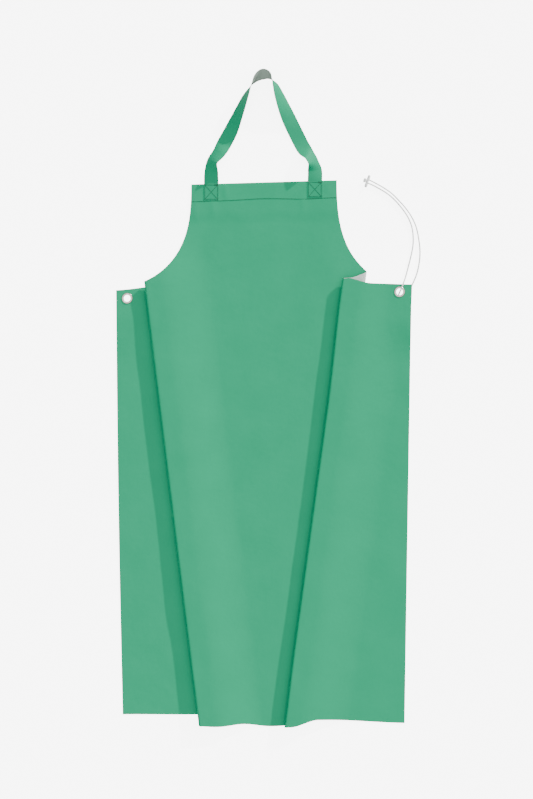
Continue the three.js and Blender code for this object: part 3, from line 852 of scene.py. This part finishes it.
strap_points = np.stack([
    plan[:, :1] + heading[:, 1:] * reach * np.cos(tilt)[:, None],
    plan[:, 1:] - heading[:, :1] * reach * np.cos(tilt)[:, None],
    outer_edge[:, None] + (reach + STRAP_WIDTH / 2) * np.sin(tilt)[:, None]], -1)
travelled = np.concatenate([[0], np.cumsum(np.linalg.norm(np.diff(plan, axis=0), axis=1))])
strap_cut = np.stack(np.meshgrid(reach, travelled), -1)
strap_points, strap_cut = strap_points.reshape(-1, 3), strap_cut.reshape(-1, 2)
strap_faces = grid_faces((0, len(plan) - 1), 0, len(reach) - 1, 0, len(reach))
# The strap's back is the sheet's white knit, given darker colours here as painted shade.
strap_knit_painted_shade = knit_finish("strap_back_painted_shade", (0.20, 0.27, 0.22), (0.33, 0.42, 0.36))
# The strap's coat is the sheet's coated cloth, made a little darker here as painted shade.
strap_cloth = coated_finish("strap_cloth", (0.002, 0.245, 0.114), (0.005, 0.285, 0.137))
strap = shell(
    "strap_cloth_strip", strap_points, vertex_normals(strap_points, strap_faces), strap_faces,
    set(open_edges(strap_faces)), strap_cut * MM, [strap_cloth, strap_knit_painted_shade])
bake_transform(strap)
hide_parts("neck_strap", "strap_end_left", "strap_end_right")


# All the sewing is lockstitch in green thread. A row of short stitches holds the turned hem, and a
# boxed cross holds each end of the strap. Each stitch is one short bead of thread.
green_thread = Finish("green_thread")
place = green_thread.node("ShaderNodeTexCoord", output="Object")
ply = green_thread.noise(place, 1800)
# The thread's very dark green is partly its own colour and partly painted shade of the grooves that
# the stitches sink into.
green_thread.set(
    Base_Color=green_thread.mix(ply, (0.001, 0.045, 0.018), (0.004, 0.090, 0.040)),
    Roughness=0.7)
green_thread.bump(ply, 0.1 * MM)


def stitch_tree():
    """Lays a bead of thread at even steps along each line of the mesh that it is given."""
    tree = bpy.data.node_groups.new("stitches", "GeometryNodeTree")
    sockets = {"Seam": "Geometry", "Pitch": "Float", "Stitch length": "Float", "Thread": "Float",
               "Material": "Material"}
    for name, kind in sockets.items():
        tree.interface.new_socket(name, in_out="INPUT", socket_type="NodeSocket" + kind)
    tree.interface.new_socket("Stitches", in_out="OUTPUT", socket_type="NodeSocketGeometry")
    nodes, link = tree.nodes, tree.links.new
    given, result = nodes.new("NodeGroupInput"), nodes.new("NodeGroupOutput")
    curve = nodes.new("GeometryNodeMeshToCurve")
    spread = nodes.new("GeometryNodeCurveToPoints")
    spread.mode = "LENGTH"
    bead = nodes.new("GeometryNodeMeshUVSphere")
    bead.inputs["Segments"].default_value, bead.inputs["Rings"].default_value = 8, 6
    bead.inputs["Radius"].default_value = 0.5
    size = nodes.new("ShaderNodeCombineXYZ")
    turn = nodes.new("FunctionNodeAlignRotationToVector")
    turn.axis = "Z"
    lay = nodes.new("GeometryNodeInstanceOnPoints")
    realize = nodes.new("GeometryNodeRealizeInstances")
    paint = nodes.new("GeometryNodeSetMaterial")
    link(given.outputs["Seam"], curve.inputs["Mesh"])
    link(curve.outputs["Curve"], spread.inputs["Curve"])
    link(given.outputs["Pitch"], spread.inputs["Length"])
    link(given.outputs["Thread"], size.inputs["X"])
    link(given.outputs["Thread"], size.inputs["Y"])
    link(given.outputs["Stitch length"], size.inputs["Z"])
    link(spread.outputs["Tangent"], turn.inputs["Vector"])
    link(spread.outputs["Points"], lay.inputs["Points"])
    link(bead.outputs["Mesh"], lay.inputs["Instance"])
    link(turn.outputs["Rotation"], lay.inputs["Rotation"])
    link(size.outputs["Vector"], lay.inputs["Scale"])
    link(lay.outputs["Instances"], realize.inputs["Geometry"])
    link(realize.outputs["Geometry"], paint.inputs["Geometry"])
    link(given.outputs["Material"], paint.inputs["Material"])
    link(paint.outputs["Geometry"], result.inputs["Stitches"])
    return tree


stitches = stitch_tree()


def sew(name, node, lines, pitch, thread):
    vertices, edges = [], []
    for line in lines:
        edges += [(len(vertices) + i, len(vertices) + i + 1) for i in range(len(line) - 1)]
        vertices += [tuple(p) for p in to_row(line)]
    mesh = bpy.data.meshes.new(name)
    mesh.from_pydata(vertices, edges, [])
    piece = bpy.data.objects.new(name, mesh)
    scene.collection.objects.link(piece)
    modifier = piece.modifiers.new("stitches", "NODES")
    modifier.node_group = stitches
    given = {"Pitch": pitch * MM, "Stitch length": pitch * 0.9 * MM, "Thread": thread * MM,
             "Material": green_thread.material}
    for item in stitches.interface.items_tree:
        if item.name in given:
            modifier[item.identifier] = given[item.name]
    evaluated = piece.evaluated_get(bpy.context.evaluated_depsgraph_get())
    sewn = bpy.data.meshes.new_from_object(evaluated)
    piece.modifiers.remove(modifier)
    piece.data = sewn
    sewn.polygons.foreach_set("use_smooth", [True] * len(sewn.polygons))
    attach(piece, "root")
    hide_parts(node)


ON_BIB = 2 * HEM_RADIUS + CLOTH
THREAD_INSET = 2
SEAM_LIFT, CROSS_LIFT = 0.15, 0.1
BACKTACK = 6
SQUARE = ((-1, -1), (1, -1), (1, 1), (-1, 1))
seam_half = float(half_width_at(BIB_TOP - HEM_DEPTH)) - THREAD_INSET
seam_x = np.linspace(-seam_half, seam_half, 40)
seam_wave = 2.2 * np.exp(-((seam_x + 5) / 50) ** 2) - 1.4 * np.exp(-((seam_x - 92) / 34) ** 2)
seam_y = BIB_TOP - HEM_DEPTH + 1 + BIB_SLOPE * seam_x + seam_wave
seam = [(x, y, ON_BIB + SEAM_LIFT) for x, y in zip(seam_x, seam_y)]
sew("hem_lockstitch", "hem_stitching", [seam], pitch=3.2, thread=1.4)
for side, foot in (("left", LEFT_FOOT), ("right", RIGHT_FOOT)):
    half, long = STRAP_WIDTH / 2 - THREAD_INSET, STRAP_LAP / 2 - THREAD_INSET
    middle_y, z = foot[1] - STRAP_LAP / 2, ON_FOOT + CLOTH / 2 + CROSS_LIFT
    corners = [(foot[0] + i * half, middle_y + j * long, z) for i, j in SQUARE]
    box = [*corners, corners[0]]
    crosses = [[corners[0], corners[2]], [corners[1], corners[3]]]
    x, y, z = corners[2]
    backtack = [[(x - BACKTACK, y + rise, z), (x, y + rise, z)] for rise in (-1, 1)]
    lines = [box, *crosses, *backtack]
    sew(f"strap_box_cross_{side}", f"strap_stitching_{side}", lines, pitch=2.6, thread=1.2)


# Each eyelet is pressed brass, nickel plated and bright: a domed flange with a barrel whose end is
# rolled out over a flat washer behind the cloth.
nickel = Finish("bright_nickel")
place = nickel.node("ShaderNodeTexCoord", output="Object")
brushing_and_painted_reflection = nickel.noise(place, 700, 5.0)
# The same noise varies the roughness and bump like brushing, and paints darker brownish patches into
# the nickel's colour as painted reflection.
nickel.set(
    Base_Color=nickel.mix(brushing_and_painted_reflection, (0.42, 0.36, 0.33), (0.66, 0.60, 0.56)), Metallic=1.0,
    Roughness=brushing_and_painted_reflection * 0.08 + 0.06)
nickel.bump(brushing_and_painted_reflection, 0.02 * MM)

DOME_STEPS, DOME_FOOT, DOME_RISE = 12, 0.6, 1.3
BORE, FLANGE, BARREL, ROLL = 7.5, 12, 8, 9.6
ROLL_TOP, FLANGE_UNDERSIDE = -1.3, 0.5
RING_STEPS = 72
dome_middle, dome_half = (BORE + FLANGE) / 2, (FLANGE - BORE) / 2
dome = []
for step in range(DOME_STEPS + 1):
    bend = math.pi * (1 - step / DOME_STEPS)
    dome.append((dome_middle + dome_half * math.cos(bend), DOME_FOOT + DOME_RISE * math.sin(bend)))
front_outline = [
    (BARREL, ROLL_TOP), (ROLL, ROLL_TOP), (ROLL, -EYELET_DEPTH), (BORE, -EYELET_DEPTH), *dome,
    (FLANGE, FLANGE_UNDERSIDE), (BARREL, FLANGE_UNDERSIDE)]
washer_outline = [(HOLE_RADIUS, -1), (FLANGE, -1), (FLANGE, -0.5), (HOLE_RADIUS, -0.5)]
EAST = np.array([1.0, 0, 0])
for side, body, spot, z in (
        ("left", "left_panel", LEFT_EYELET, EYELET_DEPTH),
        ("right", "right_panel", RIGHT_EYELET, RIGHT_CORNER_HEIGHT)):
    for kind, outline in (("eyelet", front_outline[::-1]), ("eyelet_washer", washer_outline)):
        scaled = [(radius * MM, height * MM) for radius, height in outline]
        ring = revolve(
            f"{kind}_ring_{side}", scaled, to_row((*spot, z)), UP, EAST, RING_STEPS,
            nickel.material, True)
        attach(ring, body)
        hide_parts(f"{kind}_{side}")


# A plain pale floor under a sky that is brightest overhead. A low key light from the upper right
# gives the folds their soft shadows. The floor's glow is seen by the camera and lights nothing.
HORIZON, ZENITH, FLOOR_GLOW = 0.10, 2.20, 6.0
FADE_FROM, FADE_FULL, SIDE_DIMMING = 0.08, 0.75, 1.25
KEY_HEIGHT, KEY_WAY = math.radians(15), math.radians(50)
KEY_STRENGTH, KEY_SPREAD = 5.9, math.radians(1.2)
floor_finish = Finish("floor")
glow = floor_finish.node("ShaderNodeLightPath") * FLOOR_GLOW
seen = floor_finish.node("ShaderNodeCombineColor", {}, {"Red": glow, "Green": glow, "Blue": glow})
floor_finish.set(
    Base_Color=(0.93, 0.93, 0.93, 1), Roughness=0.9, Emission_Color=seen, Emission_Strength=1.0)
FLOOR, FLOOR_HEIGHT = 6, -0.0006
corners = [(i * FLOOR, j * FLOOR, FLOOR_HEIGHT) for i, j in SQUARE]
floor = new_piece("floor", corners, [(0, 1, 2, 3)], [(0, 0)] * 4, [floor_finish.material])

# The sky fades towards the horizon, and to both sides of the upright plane that the key light is in.
world = bpy.data.worlds.new("studio")
scene.world = world
world.use_nodes = True
sky, link = world.node_tree.nodes, world.node_tree.links.new
direction, axes = sky.new("ShaderNodeTexCoord"), sky.new("ShaderNodeSeparateXYZ")
fade, aside = sky.new("ShaderNodeMapRange"), sky.new("ShaderNodeVectorMath")
fade.interpolation_type, aside.operation = "SMOOTHSTEP", "DOT_PRODUCT"
fades = {"From Min": FADE_FROM, "From Max": FADE_FULL, "To Min": HORIZON, "To Max": ZENITH}
for name, value in fades.items():
    fade.inputs[name].default_value = value
aside.inputs[1].default_value = (-math.sin(KEY_WAY), math.cos(KEY_WAY), 0)
square, dim, light = (sky.new("ShaderNodeMath") for _ in range(3))
square.operation, dim.operation, light.operation = "MULTIPLY", "MULTIPLY_ADD", "MULTIPLY"
dim.use_clamp = True
dim.inputs[1].default_value, dim.inputs[2].default_value = -SIDE_DIMMING, 1.0
link(direction.outputs["Generated"], axes.inputs[0])
link(direction.outputs["Generated"], aside.inputs[0])
link(axes.outputs["Z"], fade.inputs["Value"])
link(aside.outputs["Value"], square.inputs[0])
link(aside.outputs["Value"], square.inputs[1])
link(square.outputs[0], dim.inputs[0])
link(fade.outputs["Result"], light.inputs[0])
link(dim.outputs[0], light.inputs[1])
link(light.outputs[0], sky["Background"].inputs["Strength"])
sky["Background"].inputs["Color"].default_value = (1, 1, 1, 1)
key_data = bpy.data.lights.new("key", "SUN")
key_data.energy = KEY_STRENGTH
key_data.angle = KEY_SPREAD
key = bpy.data.objects.new("key", key_data)
towards = Vector((math.cos(KEY_WAY), math.sin(KEY_WAY), math.tan(KEY_HEIGHT)))
key.rotation_mode = "QUATERNION"
key.rotation_quaternion = towards.to_track_quat("Z", "Y")
scene.collection.objects.link(key)
